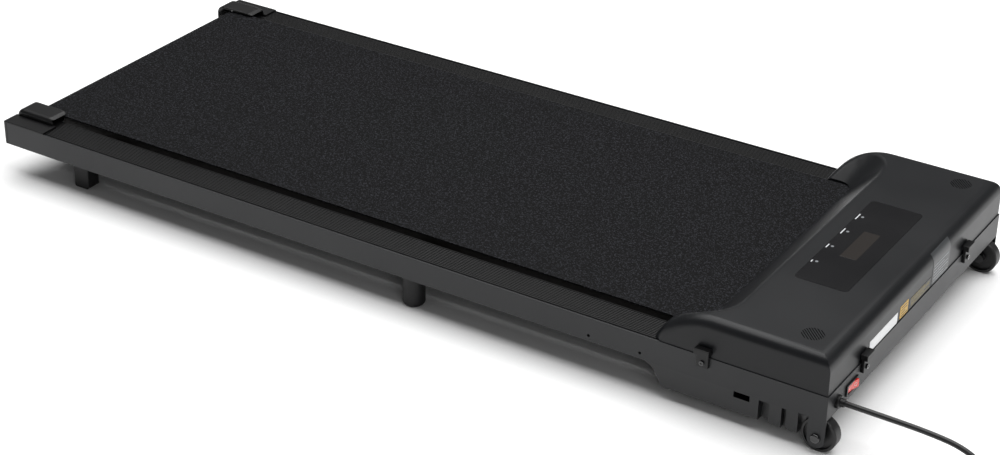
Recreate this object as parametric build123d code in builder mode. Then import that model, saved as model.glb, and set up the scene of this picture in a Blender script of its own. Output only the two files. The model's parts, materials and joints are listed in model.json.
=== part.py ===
"""Flat walking treadmill: steel rails, deck and belt between two rollers, with the drive under a front hood.

+X runs lengthwise towards the motor end, +Y across to the far side, +Z up. Z = 0 is the floor.
X = 0 and Y = 0 are the middle of the machine's own length and width. Sizes are in millimetres.
"""
import math
import os

from build123d import *

# ---------------------------------------------------------------- driving dimensions
overall_length = 1215.0      # rear end of the rails to the front of the wheels
overall_width = 500.0        # over the two side rails
rail_height = 31.0
rail_sheet = 2.0             # steel sheet of the rails and the front plate

belt_width = 404.0
belt_thickness = 1.8
belt_rise = 7.0              # belt surface above the rail's top edge
roller_diameter = 40.0
roller_wall = 4.0
rear_roller_inset = 35.0     # rear end to the rear roller's axis
axle_diameter = 12.0

deck_thickness = 12.0
deck_width = 398.0
strip_width = 40.5
strip_thickness = 4.4

hood_length = 175.5          # over the belt, from its rear edge to the front face
horn_reach = 42.5            # how far the two side horns reach past that edge
hood_height = 47.0           # above the rails
hood_wall = 2.5
hood_side_round = 13.0
hood_front_round = 18.0
hood_crest_round = 10.0
grille_slot = 1.1
grille_pitch = 2.9

pan_depth = 29.5             # belly pan below the rails
pan_length = 228.0
pan_wall = 2.5

wheel_diameter = 43.0
wheel_set_back = 32.0        # rear of the wheels behind the front plate's face
wheel_clearance = 3.0        # top of the wheels below the front plate
wheel_width = 14.0
wheel_bolt_diameter = 8.0
ear_width = 21.0

motor_diameter = 74.0
motor_length = 128.0
motor_shaft_diameter = 10.0
roller_pulley_diameter = 54.0
motor_pulley_diameter = 26.0
pulley_width = 13.0
drive_belt_thickness = 2.4

foot_diameter = 28.0
middle_foot_x = 40.5
tension_bolt_diameter = 6.0
cord_diameter = 6.5
cord_start_height = 58.4

# ---------------------------------------------------------------- named clearances
touch_gap = 0.3              # between neighbours that only lie near each other
run_gap = 0.05               # radial, shaft in a hole
belt_gap = 0.3               # belt loop to its rollers
side_gap = 1.5               # between parts that turn and parts that stand
edge_gap = 3.0               # belt edge to foot strip
tension_travel = 5.0         # how far the rear axle can be let forward
member_gap = 6.4             # crossmembers above the belt's lower run

# ---------------------------------------------------------------- derived places
ride_height = wheel_diameter + wheel_clearance      # floor to the underside of the rails
wheel_overhang = wheel_diameter - wheel_set_back    # how far the wheels stand past the front plate
rear_x = -overall_length / 2
front_x = overall_length / 2 - wheel_overhang
side_y = overall_width / 2
rail_bottom = ride_height
rail_top = ride_height + rail_height
belt_top = rail_top + belt_rise
roller_radius = roller_diameter / 2
axle_radius = axle_diameter / 2
roller_z = belt_top - belt_thickness - belt_gap - roller_radius
rear_roller_x = rear_x + rear_roller_inset
hood_rear_x = front_x - hood_length
front_roller_x = hood_rear_x + 45
horn_x = hood_rear_x - horn_reach
hood_top = rail_top + hood_height
web_in = side_y - rail_sheet
strip_in = belt_width / 2 + edge_gap
strip_out = strip_in + strip_width
strip_top = rail_top - touch_gap
shelf_top = strip_top - strip_thickness
flange_in = side_y - 27
pan_bottom = rail_bottom - pan_depth
wheel_radius = wheel_diameter / 2
wheel_x = front_x + wheel_overhang - wheel_radius
wheel_z = wheel_radius
wheel_near = side_y - 7      # outer face of each wheel
tube_half = belt_width / 2 + 3
bearing_radius = roller_radius - roller_wall
bolt_y = side_y - 18         # tension bolts
SIDES = ((-1, "near"), (1, "far"))

os.makedirs("parts", exist_ok=True)


def block(x0, x1, y0, y1, z0, z1, mode=Mode.ADD):
    """A rectangular block between six limits."""
    with Locations(((x0 + x1) / 2, (y0 + y1) / 2, (z0 + z1) / 2)):
        Box(abs(x1 - x0), abs(y1 - y0), abs(z1 - z0), mode=mode)


def rod(axis, start, end, centre, radius, mode=Mode.ADD):
    """A round bar along one axis, from start to end; centre holds its two other coordinates in X, Y, Z order."""
    middle, length = (start + end) / 2, abs(end - start)
    place = {
        "x": Location((middle, centre[0], centre[1]), (0, 90, 0)),
        "y": Location((centre[0], middle, centre[1]), (90, 0, 0)),
        "z": Location((centre[0], centre[1], middle)),
    }[axis]
    with Locations(place):
        Cylinder(radius, length, mode=mode)


def save(piece, name):
    """Label a finished piece and write it under its own name."""
    piece.part.label = name
    export_step(piece.part, f"parts/{name}.step")


def slab(x0, x1, y0, y1, z0, z1, mode=Mode.ADD):
    """The same block on both sides of the machine, given for +Y."""
    block(x0, x1, y0, y1, z0, z1, mode)
    block(x0, x1, -y1, -y0, z0, z1, mode)


# ---------------------------------------------------------------- hood and front outline values
hood_set_in = 1.2            # the steel's top edge shows round the hood's foot
hood_side = side_y - hood_set_in
hood_face = front_x - hood_set_in
gland_y = -side_y + 27
gland_z = cord_start_height
switch_y = -side_y + 62.5
switch_z = rail_bottom + 13.5
switch_length = 31.0
switch_height = 14.0
switch_cut_length = 27.6
switch_cut_height = 11.6
clip_width = 15.0
clip_height = 24.0
clip_depth = 4.0
clip_lip_width = 19.0        # hooked lip at the clip's top
clip_lip_height = 7.0
clip_lip_depth = 8.0
clip_low = rail_top - 12
clip_screw_z = clip_low + 5.6
clip_side_x = front_x - 151
pan_front = wheel_x - wheel_radius - 2.5
clip_front_y = (-side_y + 92, side_y - 114)
clip_screw_radius = 2.0
slot_wall = strip_in - 0.5   # half width of the belt's way under the hood
slot_top = belt_top + 2

# ---------------------------------------------------------------- side rails
ear_tip_z = wheel_z - 2
post_depth = 8.0             # corner posts of the rear end caps
for side, name in SIDES:
    with BuildPart() as rail:
        y_out, y_in = side * side_y, side * web_in
        with BuildSketch(Plane.XZ.offset(-min(y_out, y_in))):
            with BuildLine():
                Polyline(
                    (rear_x + post_depth + touch_gap, rail_bottom),
                    (rear_x + post_depth + touch_gap, rail_top),
                    (front_x, rail_top),
                    (front_x, ear_tip_z),
                )
                ThreePointArc(
                    (front_x, ear_tip_z),
                    (front_x - ear_width / 2, ear_tip_z - ear_width / 2),
                    (front_x - ear_width, ear_tip_z),
                )
                Polyline(
                    (front_x - ear_width, ear_tip_z),
                    (front_x - ear_width, rail_bottom),
                    (rear_x + post_depth + touch_gap, rail_bottom),
                )
            make_face()
        extrude(amount=-rail_sheet)
        block(rear_x + 10, wheel_x - wheel_radius - 6, side * flange_in, y_in, rail_bottom,
              rail_bottom + rail_sheet)
        block(rear_x + 10, horn_x + 12, side * (strip_in - 1), y_in, shelf_top - rail_sheet, shelf_top)
        rod("y", y_out, y_in, (wheel_x, wheel_z), wheel_bolt_diameter / 2 + run_gap, Mode.SUBTRACT)
        rod("y", y_out, y_in, (clip_side_x, clip_screw_z), clip_screw_radius + run_gap, Mode.SUBTRACT)
        for hole_x in (front_x - 231, front_x - 298):
            rod("y", y_out, y_in, (hole_x, rail_bottom + 7.7), 1.8, Mode.SUBTRACT)
        for foot_x, foot_y in ((middle_foot_x, side_y - 24), (rear_x + 112, side_y - 27)):
            rod("z", rail_bottom, rail_bottom + rail_sheet, (foot_x, side * foot_y), 3.2, Mode.SUBTRACT)
        # room for the rear axle and its travel, the end bracket and the roller
        block(rear_x + 4, rear_roller_x + 34, side * (strip_in - 2), y_in, shelf_top - 3, shelf_top + 1, Mode.SUBTRACT)
        block(rear_x + 16, rear_roller_x + 32, side * flange_in, side * (side_y - 12), rail_bottom - 1,
              rail_bottom + 3, Mode.SUBTRACT)
    save(rail, f"{name}_side_rail")

# ---------------------------------------------------------------- front plate
with BuildPart() as front_plate:
    block(front_x - rail_sheet, front_x, -web_in, web_in, rail_bottom, rail_top)
    block(pan_front + 1, front_x - rail_sheet, -side_y + 29, side_y - 29, rail_bottom, rail_bottom + rail_sheet)
    rod("x", front_x - rail_sheet, front_x, (gland_y, gland_z), 6.2, Mode.SUBTRACT)
    block(front_x - rail_sheet, front_x, switch_y - switch_cut_length / 2, switch_y + switch_cut_length / 2,
          switch_z - switch_cut_height / 2, switch_z + switch_cut_height / 2, Mode.SUBTRACT)
    for clip_y in clip_front_y:
        rod("x", front_x - rail_sheet, front_x, (clip_y, clip_screw_z), clip_screw_radius + run_gap, Mode.SUBTRACT)
save(front_plate, "front_plate")

# ---------------------------------------------------------------- crossmembers
member_width = 40.0
member_height = 14.0
member_wall = 1.5
member_low = roller_z - roller_radius - belt_gap + member_gap
member_top = member_low + member_height
member_xs = {"rear": rear_x + 150, "middle": middle_foot_x, "front": front_roller_x - 60}
for name, member_x in member_xs.items():
    with BuildPart() as member:
        x0, x1 = member_x - member_width / 2, member_x + member_width / 2
        block(x0, x1, -web_in, web_in, member_low, member_top)
        block(x0 + member_wall, x1 - member_wall, -web_in, web_in, member_low + member_wall,
              member_top - member_wall, Mode.SUBTRACT)
        if name == "middle":
            for foot_y in (side_y - 24, -side_y + 24):
                rod("z", member_low, member_low + member_wall, (member_x, foot_y), 6.5, Mode.SUBTRACT)
        for screw_y in (-150, 0, 150):
            rod("z", member_low, member_top, (member_x, screw_y), 2.2, Mode.SUBTRACT)
    save(member, f"{name}_crossmember")

# ---------------------------------------------------------------- deck, cushions and screws
deck_top = belt_top - belt_thickness - belt_gap
deck_low = deck_top - deck_thickness
deck_x0 = rear_roller_x + roller_radius + tension_travel + 4
deck_x1 = front_roller_x - roller_radius - 8
screw_places = [(x, y) for x in member_xs.values() for y in (-150, 0, 150)]
with BuildPart() as deck:
    block(deck_x0, deck_x1, -deck_width / 2, deck_width / 2, deck_low, deck_top)
    chamfer(deck.edges().filter_by(Axis.Y).group_by(Axis.Z)[-1], 1.5)
    with Locations([(x, y, deck_top) for x, y in screw_places]):
        CounterSinkHole(2.2, 4.6)
save(deck, "deck")

with BuildPart() as deck_cushions:
    for place_x in member_xs.values():
        for place_y in (-150, 0, 150):
            rod("z", member_top, deck_low, (place_x, place_y), 14)
            rod("z", member_top, deck_low, (place_x, place_y), 2.4, Mode.SUBTRACT)
save(deck_cushions, "deck_cushions")

with BuildPart() as deck_screws:
    for place_x, place_y in screw_places:
        rod("z", member_low - 1, deck_top - 1.5, (place_x, place_y), 2.1)
        with Locations((place_x, place_y, deck_top - 1.35)):
            Cone(2.1, 4.0, 1.9)
save(deck_screws, "deck_screws")


def belt_outline(reach):
    """Closed loop round both rollers at a distance from their surface."""
    radius = roller_radius + reach
    with BuildLine() as outline:
        Line((rear_roller_x, roller_z + radius), (front_roller_x, roller_z + radius))
        ThreePointArc((front_roller_x, roller_z + radius), (front_roller_x + radius, roller_z),
                      (front_roller_x, roller_z - radius))
        Line((front_roller_x, roller_z - radius), (rear_roller_x, roller_z - radius))
        ThreePointArc((rear_roller_x, roller_z - radius), (rear_roller_x - radius, roller_z),
                      (rear_roller_x, roller_z + radius))
    return outline.line


# ---------------------------------------------------------------- running belt
with BuildPart() as running_belt:
    with BuildSketch(Plane.XZ.offset(-belt_width / 2)):
        make_face(belt_outline(belt_gap + belt_thickness))
    extrude(amount=belt_width)
    with BuildSketch(Plane.XZ.offset(-belt_width / 2)):
        make_face(belt_outline(belt_gap))
    extrude(amount=belt_width, mode=Mode.SUBTRACT)
save(running_belt, "running_belt")

# ---------------------------------------------------------------- foot strips
rib_count = 13
rib_width = 1.7
rib_height = 0.8
strip_x0 = rear_x + 42
strip_x1 = horn_x + 9
rib_pitch = strip_width / rib_count
for side, name in SIDES:
    with BuildPart() as strip:
        block(strip_x0, strip_x1, side * strip_in, side * strip_out, shelf_top, strip_top - rib_height)
        for rib in range(rib_count):
            rib_y = side * (strip_in + rib_pitch * (rib + 0.5))
            block(strip_x0, strip_x1, rib_y - rib_width / 2, rib_y + rib_width / 2, strip_top - rib_height, strip_top)
    save(strip, f"{name}_foot_strip")

# ---------------------------------------------------------------- rear end caps
cap_flat_length = 73.0
cap_sheet = 2.3
cap_raise = 12.0             # raised part's top above the rail
cap_shell = 2.5
cap_reach = 73.0             # raised part's front edge from the rear end
cap_back = 5.0               # raised part's rear wall from the rear end
cap_corner = 12.0
cap_round = 6.0
cap_inner_y = side_y - 54
cap_step_y = side_y - 25


def cap_arch(inset):
    """Side view of the raised cover, drawn in by inset: a flat top that turns down behind the roller's end."""
    top, back, corner = rail_top + cap_raise - inset, rear_x + cap_back + inset, cap_corner - inset
    with BuildLine() as outline:
        Polyline((back + corner, top), (rear_x + cap_reach, top), (rear_x + cap_reach, rail_top),
                 (rear_x + cap_reach - 30, roller_z - 8), (back, roller_z - 8), (back, top - corner))
        bulge = corner * (1 - math.sqrt(0.5))
        ThreePointArc((back, top - corner), (back + bulge, top - bulge), (back + corner, top))
    return outline.line


for side, name in SIDES:
    with BuildPart() as cap:
        near, far = sorted((side * cap_inner_y, side * (cap_step_y + cap_shell)))
        with BuildSketch(Plane.XZ.offset(-near)):
            make_face(cap_arch(0))
        extrude(amount=-(far - near))
        top_rim = cap.edges().filter_by(Axis.X).sort_by(Axis.Z)[-2:]
        fillet(top_rim.sort_by(Axis.Y)[0 if side > 0 else -1], 2.0)
        fillet(top_rim.sort_by(Axis.Y)[-1 if side > 0 else 0], 6.0)
        corner = cap.edges().filter_by(Axis.Z).group_by(Axis.X)[-1].sort_by(Axis.Y)
        fillet(corner[0 if side > 0 else -1], 11.0)
        # hollow of the raised part, open towards the belt and the front
        hollow_in, hollow_out = sorted((side * (cap_inner_y - 1), side * cap_step_y))
        with BuildSketch(Plane.XZ.offset(-hollow_in)):
            make_face(cap_arch(cap_shell))
        extrude(amount=-(hollow_out - hollow_in), mode=Mode.SUBTRACT)
        block(rear_x + cap_back + cap_shell, rear_x + cap_reach + 1, hollow_in, hollow_out, roller_z - 20,
              rail_top + cap_raise - cap_corner, Mode.SUBTRACT)
        block(rear_x + cap_reach - 1, rear_x + cap_reach + 1, hollow_in, hollow_out, rail_top - 1,
              rail_top + cap_raise - cap_shell, Mode.SUBTRACT)
        # nothing of the step wall hangs below the flat part ahead of the rear wall
        block(rear_x + cap_back + cap_shell, rear_x + cap_reach + 1, side * (cap_step_y - 1),
              side * (cap_step_y + cap_shell + 1), roller_z - 20, rail_top, Mode.SUBTRACT)
        block(rear_x, rear_x + cap_flat_length, side * cap_step_y, side * side_y, rail_top, rail_top + cap_sheet)
        block(rear_x, rear_x + cap_shell, side * cap_step_y, side * side_y, rail_bottom + 1, rail_top + cap_sheet)
        block(rear_x, rear_x + cap_back + 1, side * cap_step_y, side * (cap_step_y + cap_shell),
              rail_bottom + 8, rail_top + cap_sheet)
        block(rear_x, rear_x + post_depth, side * (side_y - post_depth), side * side_y, rail_bottom,
              rail_top + cap_sheet)
        rod("x", rear_x - 1, rear_x + post_depth + 2, (side * bolt_y, roller_z), 6.0, Mode.SUBTRACT)
        post_edge = cap.edges().filter_by(Axis.Z).group_by(Axis.X)[0].sort_by(Axis.Y)
        rear_edge = [edge for edge in cap.edges().filter_by(Axis.Y).group_by(Axis.X)[0]
                     if edge.center().Z > rail_top + cap_sheet - 0.1]
        fillet([post_edge[-1 if side > 0 else 0], *rear_edge], cap_round)
        outer_rim = [edge for edge in cap.edges().filter_by(Axis.X) if abs(abs(edge.center().Y) - side_y) < 0.1]
        fillet(ShapeList(outer_rim).sort_by(Axis.Z)[-1], 1.2)
    save(cap, f"{name}_end_cap")

# ---------------------------------------------------------------- feet
middle_foot = (middle_foot_x, side_y - 24)
rear_foot = (rear_x + 112, side_y - 36)
with BuildPart() as middle_feet:
    for side, _ in SIDES:
        rod("z", 0, rail_bottom, (middle_foot[0], side * middle_foot[1]), foot_diameter / 2)
    fillet(middle_feet.edges().filter_by(GeomType.CIRCLE).group_by(Axis.Z)[0], 4.5)
    for side, _ in SIDES:
        rod("z", rail_bottom - 30, rail_bottom, (middle_foot[0], side * middle_foot[1]), 3.05, Mode.SUBTRACT)
save(middle_feet, "middle_feet")

with BuildPart() as rear_feet:
    for side, _ in SIDES:
        block(rear_foot[0] - 12.5, rear_foot[0] + 12.5, side * (rear_foot[1] - 9), side * (rear_foot[1] + 12.5),
              0, rail_bottom)
    chamfer(rear_feet.edges().filter_by(Axis.Y).group_by(Axis.Z)[0], 3.0)
    fillet(rear_feet.edges().filter_by(Axis.Z), 2.0)
    for side, _ in SIDES:
        rod("z", rail_bottom - 30, rail_bottom, (rear_foot[0], side * (side_y - 27)), 3.05, Mode.SUBTRACT)
save(rear_feet, "rear_feet")

with BuildPart() as foot_screws:
    for side, _ in SIDES:
        for foot_x, foot_y in ((middle_foot[0], middle_foot[1]), (rear_foot[0], side_y - 27)):
            rod("z", rail_bottom - 22, rail_bottom + rail_sheet, (foot_x, side * foot_y), 3.0)
            rod("z", rail_bottom + rail_sheet, rail_bottom + rail_sheet + 4, (foot_x, side * foot_y), 5.5)
            rod("z", rail_bottom + rail_sheet + 2, rail_bottom + rail_sheet + 4, (foot_x, side * foot_y), 2.5,
                Mode.SUBTRACT)
save(foot_screws, "foot_screws")


def roller(centre_x, name):
    """Roller tube with its two bearings, on an axle along Y."""
    with BuildPart() as tube:
        rod("y", -tube_half, tube_half, (centre_x, roller_z), roller_radius)
        rod("y", -tube_half, tube_half, (centre_x, roller_z), bearing_radius, Mode.SUBTRACT)
    save(tube, f"{name}_roller_tube")
    with BuildPart() as bearings:
        for low, high in ((-tube_half + 1, -tube_half + 11), (tube_half - 11, tube_half - 1)):
            rod("y", low, high, (centre_x, roller_z), bearing_radius)
            rod("y", low, high, (centre_x, roller_z), axle_radius + run_gap, Mode.SUBTRACT)
        for face_y in (-tube_half + 1, tube_half - 1):
            rod("y", face_y - 0.6, face_y + 0.6, (centre_x, roller_z), 12.5, Mode.SUBTRACT)
            rod("y", face_y - math.copysign(0.6, face_y) * 2, face_y, (centre_x, roller_z), 9.0)
            rod("y", face_y - 1.2, face_y + 1.2, (centre_x, roller_z), axle_radius + run_gap, Mode.SUBTRACT)
    save(bearings, f"{name}_roller_bearings")


# ---------------------------------------------------------------- front roller
bracket_y = tube_half + side_gap + pulley_width + side_gap + 1
roller(front_roller_x, "front")
with BuildPart() as roller_brackets:
    for side, _ in SIDES:
        block(front_roller_x - 14, front_roller_x + 14, side * bracket_y, side * (bracket_y + 5),
              rail_bottom + rail_sheet, roller_z + 14)
        block(front_roller_x - 14, front_roller_x + 14, side * bracket_y, side * web_in,
              rail_bottom + rail_sheet, rail_bottom + rail_sheet + 4)
        rod("y", side * bracket_y, side * (bracket_y + 5), (front_roller_x, roller_z), axle_radius, Mode.SUBTRACT)
save(roller_brackets, "roller_brackets")

with BuildPart() as front_axle:
    rod("y", -bracket_y - 5, bracket_y + 5, (front_roller_x, roller_z), axle_radius)
    chamfer(front_axle.edges().filter_by(GeomType.CIRCLE), 0.8)
save(front_axle, "front_roller_axle")

with BuildPart() as axle_nuts:
    for side, _ in SIDES:
        low, high = sorted((side * (bracket_y + 5), side * (bracket_y + 10)))
        with BuildSketch(Plane.XZ.offset(-low)):
            with Locations((front_roller_x, roller_z)):
                RegularPolygon(9, 6)
        extrude(amount=-(high - low))
save(axle_nuts, "front_axle_nuts")

pulley_low = tube_half + touch_gap
pulley_high = pulley_low + pulley_width


def grooved_pulley(centre_x, centre_z, low, high, diameter, bore):
    """Flanged pulley with fine rib grooves, along Y."""
    rod("y", low, high, (centre_x, centre_z), diameter / 2)
    for lip_low, lip_high in ((low, low + 1.2), (high - 1.2, high)):
        rod("y", lip_low, lip_high, (centre_x, centre_z), diameter / 2 + 2)
    rod("y", low, high, (centre_x, centre_z), bore, Mode.SUBTRACT)


with BuildPart() as roller_pulley:
    grooved_pulley(front_roller_x, roller_z, pulley_low, pulley_high, roller_pulley_diameter, axle_radius + 1.5)
    rod("y", tube_half, pulley_low, (front_roller_x, roller_z), roller_radius - 1)
    rod("y", tube_half - 1, pulley_low, (front_roller_x, roller_z), bearing_radius, Mode.SUBTRACT)
save(roller_pulley, "roller_pulley")

# ---------------------------------------------------------------- rear roller, axle and tension bolts
roller(rear_roller_x, "rear")
axle_half = bolt_y + 7
with BuildPart() as rear_axle:
    rod("y", -axle_half, axle_half, (rear_roller_x, roller_z), axle_radius)
    chamfer(rear_axle.edges().filter_by(GeomType.CIRCLE), 0.8)
    for side, _ in SIDES:
        rod("x", rear_roller_x - 10, rear_roller_x + 10, (side * bolt_y, roller_z),
            tension_bolt_diameter / 2 + run_gap, Mode.SUBTRACT)
save(rear_axle, "rear_roller_axle")

plate_x0 = rear_x + 12
plate_x1 = plate_x0 + 3
with BuildPart() as end_brackets:
    for side, _ in SIDES:
        block(plate_x0, plate_x1, side * (cap_step_y + cap_shell + 1), side * web_in, rail_bottom + rail_sheet,
              rail_top - 4)
        block(plate_x0 - 3, plate_x1, side * (web_in - 8), side * web_in, rail_bottom + rail_sheet,
              rail_bottom + rail_sheet + 3)
        rod("x", plate_x0, plate_x1, (side * bolt_y, roller_z), tension_bolt_diameter / 2 + run_gap, Mode.SUBTRACT)
save(end_brackets, "rear_end_brackets")

for side, name in SIDES:
    with BuildPart() as bolt:
        rod("x", plate_x0 - touch_gap, rear_roller_x + 26, (side * bolt_y, roller_z), tension_bolt_diameter / 2)
        rod("x", plate_x0 - touch_gap - 6, plate_x0 - touch_gap, (side * bolt_y, roller_z), 5.0)
        with BuildSketch(Plane.YZ.offset(plate_x0 - touch_gap - 6)):
            with Locations((side * bolt_y, roller_z)):
                RegularPolygon(2.9, 6)
        extrude(amount=3.5, mode=Mode.SUBTRACT)
    save(bolt, f"{name}_tension_bolt")

# ---------------------------------------------------------------- motor and drive
motor_x = pan_front - 34
motor_z = rail_bottom + 20
motor_y1 = 190.0
motor_y0 = motor_y1 - motor_length
motor_radius = motor_diameter / 2
can_wall = 3.0
boss_radius = 13.0
with BuildPart() as motor_housing:
    rod("y", motor_y0, motor_y1, (motor_x, motor_z), motor_radius)
    fillet(motor_housing.edges().filter_by(GeomType.CIRCLE), 3)
    rod("y", motor_y1, motor_y1 + 5, (motor_x, motor_z), boss_radius)
    rod("y", motor_y0 + can_wall, motor_y1 - can_wall, (motor_x, motor_z), motor_radius - can_wall, Mode.SUBTRACT)
    rod("y", motor_y0 - 1, motor_y1 + 6, (motor_x, motor_z), motor_shaft_diameter / 2 + run_gap, Mode.SUBTRACT)
save(motor_housing, "motor_housing")

with BuildPart() as motor_rotor:
    rod("y", motor_y0 - 24, pulley_high + 3, (motor_x, motor_z), motor_shaft_diameter / 2)
    rod("y", motor_y0 + 22, motor_y1 - 26, (motor_x, motor_z), motor_radius - can_wall - 7)
    rod("y", motor_y0 + 8, motor_y0 + 20, (motor_x, motor_z), 12)
save(motor_rotor, "motor_rotor")

with BuildPart() as motor_pulley:
    grooved_pulley(motor_x, motor_z, pulley_low, pulley_high, motor_pulley_diameter, motor_shaft_diameter / 2)
save(motor_pulley, "motor_pulley")

fan_low, fan_high = motor_y0 - 20, motor_y0 - 4
fan_radius = 31.0
with BuildPart() as cooling_fan:
    rod("y", fan_low, fan_high, (motor_x, motor_z), 10)
    rod("y", fan_high - 2, fan_high, (motor_x, motor_z), fan_radius)
    for blade in range(9):
        turn = 40 * blade
        reach = (10 + fan_radius) / 2
        place = Location((motor_x + reach * math.cos(math.radians(turn)), (fan_low + fan_high - 1) / 2,
                          motor_z + reach * math.sin(math.radians(turn))), (0, -turn, 0))
        with Locations(place):
            Box(fan_radius - 9, fan_high - fan_low - 1, 2)
    rod("y", fan_low - 1, fan_high + 1, (motor_x, motor_z), motor_shaft_diameter / 2, Mode.SUBTRACT)
save(cooling_fan, "cooling_fan")

def on_rim(centre, radius, angle):
    """A point on a pulley's rim, in the XZ plane."""
    return (centre[0] + radius * math.cos(angle), centre[1] + radius * math.sin(angle))


with BuildPart() as drive_belt:
    span = math.hypot(motor_x - front_roller_x, motor_z - roller_z)
    lean = math.atan2(motor_z - roller_z, motor_x - front_roller_x)
    for reach, mode in ((belt_gap + drive_belt_thickness, Mode.ADD), (belt_gap, Mode.SUBTRACT)):
        big = roller_pulley_diameter / 2 + reach
        small = motor_pulley_diameter / 2 + reach
        open_angle = math.acos((big - small) / span)
        up, down = lean + open_angle, lean - open_angle
        big_c, small_c = (front_roller_x, roller_z), (motor_x, motor_z)
        with BuildSketch(Plane.XZ.offset(-(pulley_low + 1.7))):
            with BuildLine():
                Line(on_rim(big_c, big, up), on_rim(small_c, small, up))
                ThreePointArc(on_rim(small_c, small, up), on_rim(small_c, small, lean), on_rim(small_c, small, down))
                Line(on_rim(small_c, small, down), on_rim(big_c, big, down))
                ThreePointArc(on_rim(big_c, big, down), on_rim(big_c, big, lean + math.pi), on_rim(big_c, big, up))
            make_face()
        extrude(amount=-(pulley_width - 3.4), mode=mode)
save(drive_belt, "drive_belt")

# ---------------------------------------------------------------- motor bed and cradle
bed_low = rail_bottom + rail_sheet
bed_x0, bed_x1 = pan_front - 72, pan_front - 5
bed_wall_x = bed_x0 + 10      # side walls stand clear of the drive pulley
pan_screw_places = [(x, side * (side_y - 45)) for x in (bed_x0 + 6, bed_x1 - 6) for side in (-1, 1)]
with BuildPart() as motor_bed:
    block(bed_x0, bed_x1, -side_y + 30, side_y - 30, pan_bottom + pan_wall + 3, pan_bottom + pan_wall + 5)
    for low, high in ((-side_y + 30, -side_y + 32), (side_y - 32, side_y - 30)):
        block(bed_wall_x, bed_x1, low, high, pan_bottom + pan_wall + 3, rail_bottom)
    slab(bed_wall_x, bed_x1 - 4, side_y - 32, side_y - 27 + 1.5, rail_bottom - 2, rail_bottom)
    for screw_y in (motor_y0 + 30, motor_y1 - 30):
        rod("z", pan_bottom, rail_bottom, (motor_x, screw_y), 3.1, Mode.SUBTRACT)
    for screw_x, screw_y in pan_screw_places:
        rod("z", pan_bottom, rail_bottom, (screw_x, screw_y), 2.05, Mode.SUBTRACT)
save(motor_bed, "motor_bed")

bed_top = pan_bottom + pan_wall + 5
with BuildPart() as motor_cradle:
    for cradle_y in (motor_y0 + 30, motor_y1 - 30):
        block(motor_x - 26, motor_x + 26, cradle_y - 8, cradle_y + 8, bed_top, motor_z - 22)
        rod("y", cradle_y - 9, cradle_y + 9, (motor_x, motor_z), motor_radius, Mode.SUBTRACT)
        rod("z", bed_top, motor_z, (motor_x, cradle_y), 3.1, Mode.SUBTRACT)
save(motor_cradle, "motor_cradle")

with BuildPart() as motor_screws:
    for cradle_y in (motor_y0 + 30, motor_y1 - 30):
        rod("z", bed_top - 4.7, motor_z - motor_radius - 0.2, (motor_x, cradle_y), 3.0)
        with BuildSketch(Plane.XY.offset(bed_top - 4.7)):
            with Locations((motor_x, cradle_y)):
                RegularPolygon(5, 6)
        extrude(amount=2.7 - touch_gap)
save(motor_screws, "motor_screws")

# ---------------------------------------------------------------- controller
board_y0, board_y1 = -side_y + 62, -side_y + 200
board_z = bed_top + 14
with BuildPart() as heat_sink:
    block(bed_x0 + 4, bed_x1 - 4, board_y0, board_y1, bed_top, bed_top + 4)
    for fin in range(8):
        fin_x = bed_x0 + 8 + fin * 4
        block(fin_x, fin_x + 1.5, board_y0, board_y1, bed_top + 4, bed_top + 11)
    block(bed_x1 - 12, bed_x1 - 6, board_y0 + 4, board_y0 + 10, bed_top + 4, board_z)
    block(bed_x1 - 12, bed_x1 - 6, board_y1 - 10, board_y1 - 4, bed_top + 4, board_z)
save(heat_sink, "heat_sink")

with BuildPart() as controller_board:
    block(bed_x0 + 4, bed_x1 - 4, board_y0, board_y1, board_z, board_z + 1.6)
    for cap_y in (board_y0 + 24, board_y0 + 48):
        rod("z", board_z + 1.6, board_z + 27, (bed_x0 + 20, cap_y), 9)
    block(bed_x0 + 34, bed_x0 + 60, board_y0 + 14, board_y0 + 40, board_z + 1.6, board_z + 18)
    block(bed_x0 + 12, bed_x0 + 40, board_y1 - 60, board_y1 - 34, board_z + 1.6, board_z + 22)
    block(bed_x0 + 10, bed_x0 + 60, board_y1 - 22, board_y1 - 12, board_z + 1.6, board_z + 11)
save(controller_board, "controller_board")


# ---------------------------------------------------------------- hood
def hood_side_view(inset, further=0.0):
    """Side view of the horns, top and front face, drawn in by inset, with its front face further forward."""
    face = hood_face + further
    top = hood_top - inset
    reach = 73.5 - inset
    rise = hood_height - inset
    arc_radius = (reach ** 2 + rise ** 2) / (2 * rise)
    start_x, arc_x = horn_x + inset, horn_x + 73.5
    half = math.asin(reach / arc_radius) / 2
    with BuildLine() as outline:
        ThreePointArc((start_x, rail_top), (arc_x - arc_radius * math.sin(half),
                      top - arc_radius + arc_radius * math.cos(half)), (arc_x, top))
        bend = hood_front_round - inset
        bend_x, bend_z = face - hood_front_round, hood_top - hood_front_round
        Line((arc_x, top), (bend_x, top))
        ThreePointArc((bend_x, top), (bend_x + bend * math.sqrt(0.5), bend_z + bend * math.sqrt(0.5)),
                      (face - inset, bend_z))
        Line((face - inset, bend_z), (face - inset, rail_top))
        Line((face - inset, rail_top), (start_x, rail_top))
    return outline.line


slope = 40 / 38              # how far the scoop's walls lean out for each millimetre up


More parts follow.
